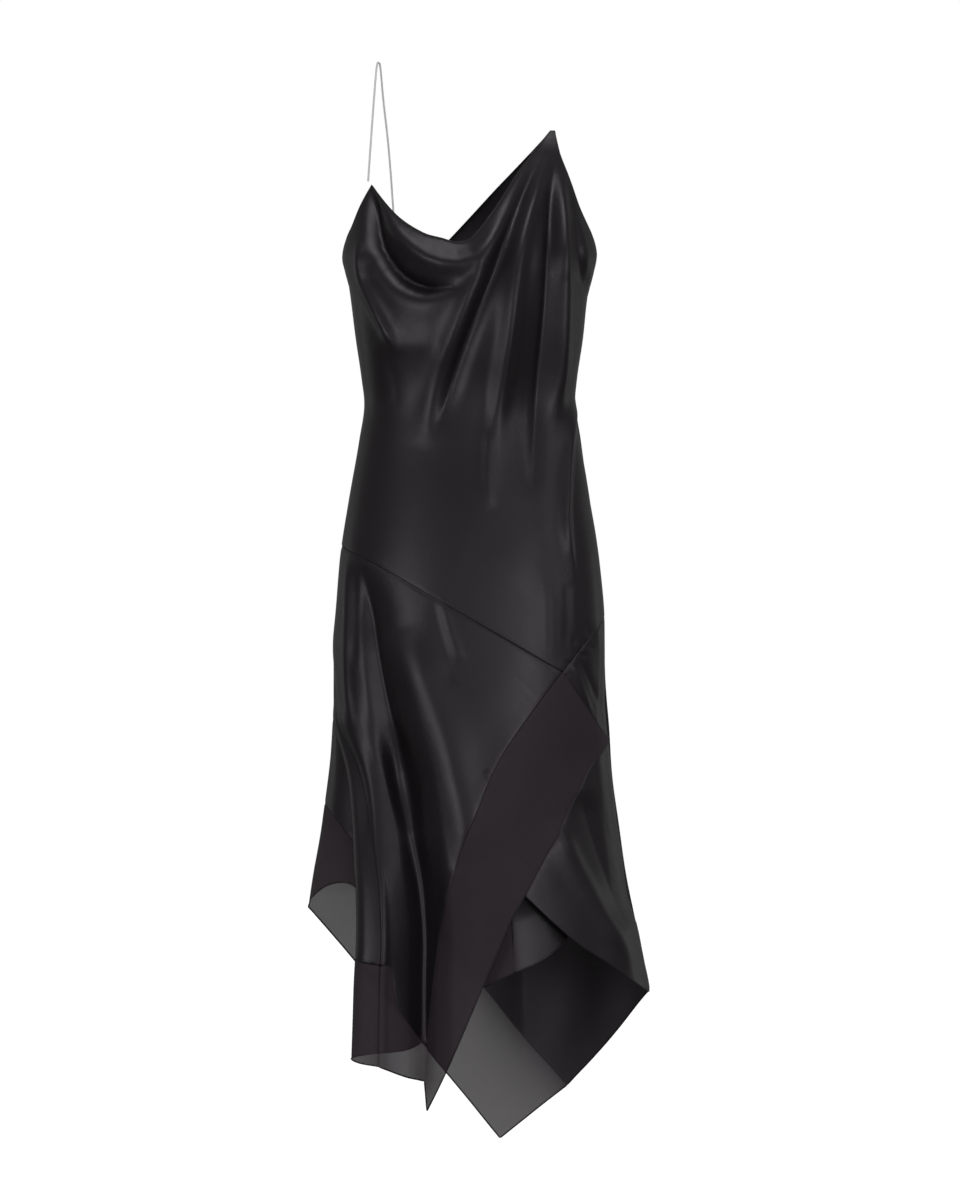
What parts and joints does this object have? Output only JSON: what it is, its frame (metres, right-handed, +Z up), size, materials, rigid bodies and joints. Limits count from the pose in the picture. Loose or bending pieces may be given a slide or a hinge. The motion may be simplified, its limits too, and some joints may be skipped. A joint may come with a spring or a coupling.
{
  "type": "slip dress, worn form",
  "caption": "Asymmetric bias-cut satin slip dress with a cowl neck, one fine strap, a pointed shoulder, a sheer diagonal band and a sheer-bordered handkerchief hem, shown hollow as worn.",
  "frame": {"origin": "on the figure's middle plane, level with the top of the shoulder strap, where the wearer's shoulders carry the dress", "axes": "+Z up along the dress; the front faces -Y; +X is to the right as seen from the front, which is the wearer's left, on the side of the shoulder point"},
  "size_m": [0.4105, 0.2836, 1.3052],
  "materials": {
    "satin": "black bias-cut satin with a soft sheen",
    "sheer": "fine sheer black chiffon, see-through where it is single",
    "strap": "very fine clear strap that reads as pale grey"
  },
  "bodies": {
    "root": {"front_body": "satin", "back_body": "satin", "front_left_skirt": "satin", "front_side_piece": "satin", "front_flap": "satin", "back_skirt": "satin", "underlap": "satin", "front_sheer_band": "sheer", "front_left_border": "sheer", "back_sheer_border": "sheer", "underlap_sheer_corner": "sheer", "shoulder_strap": "strap"}
  },
  "joints": []
}
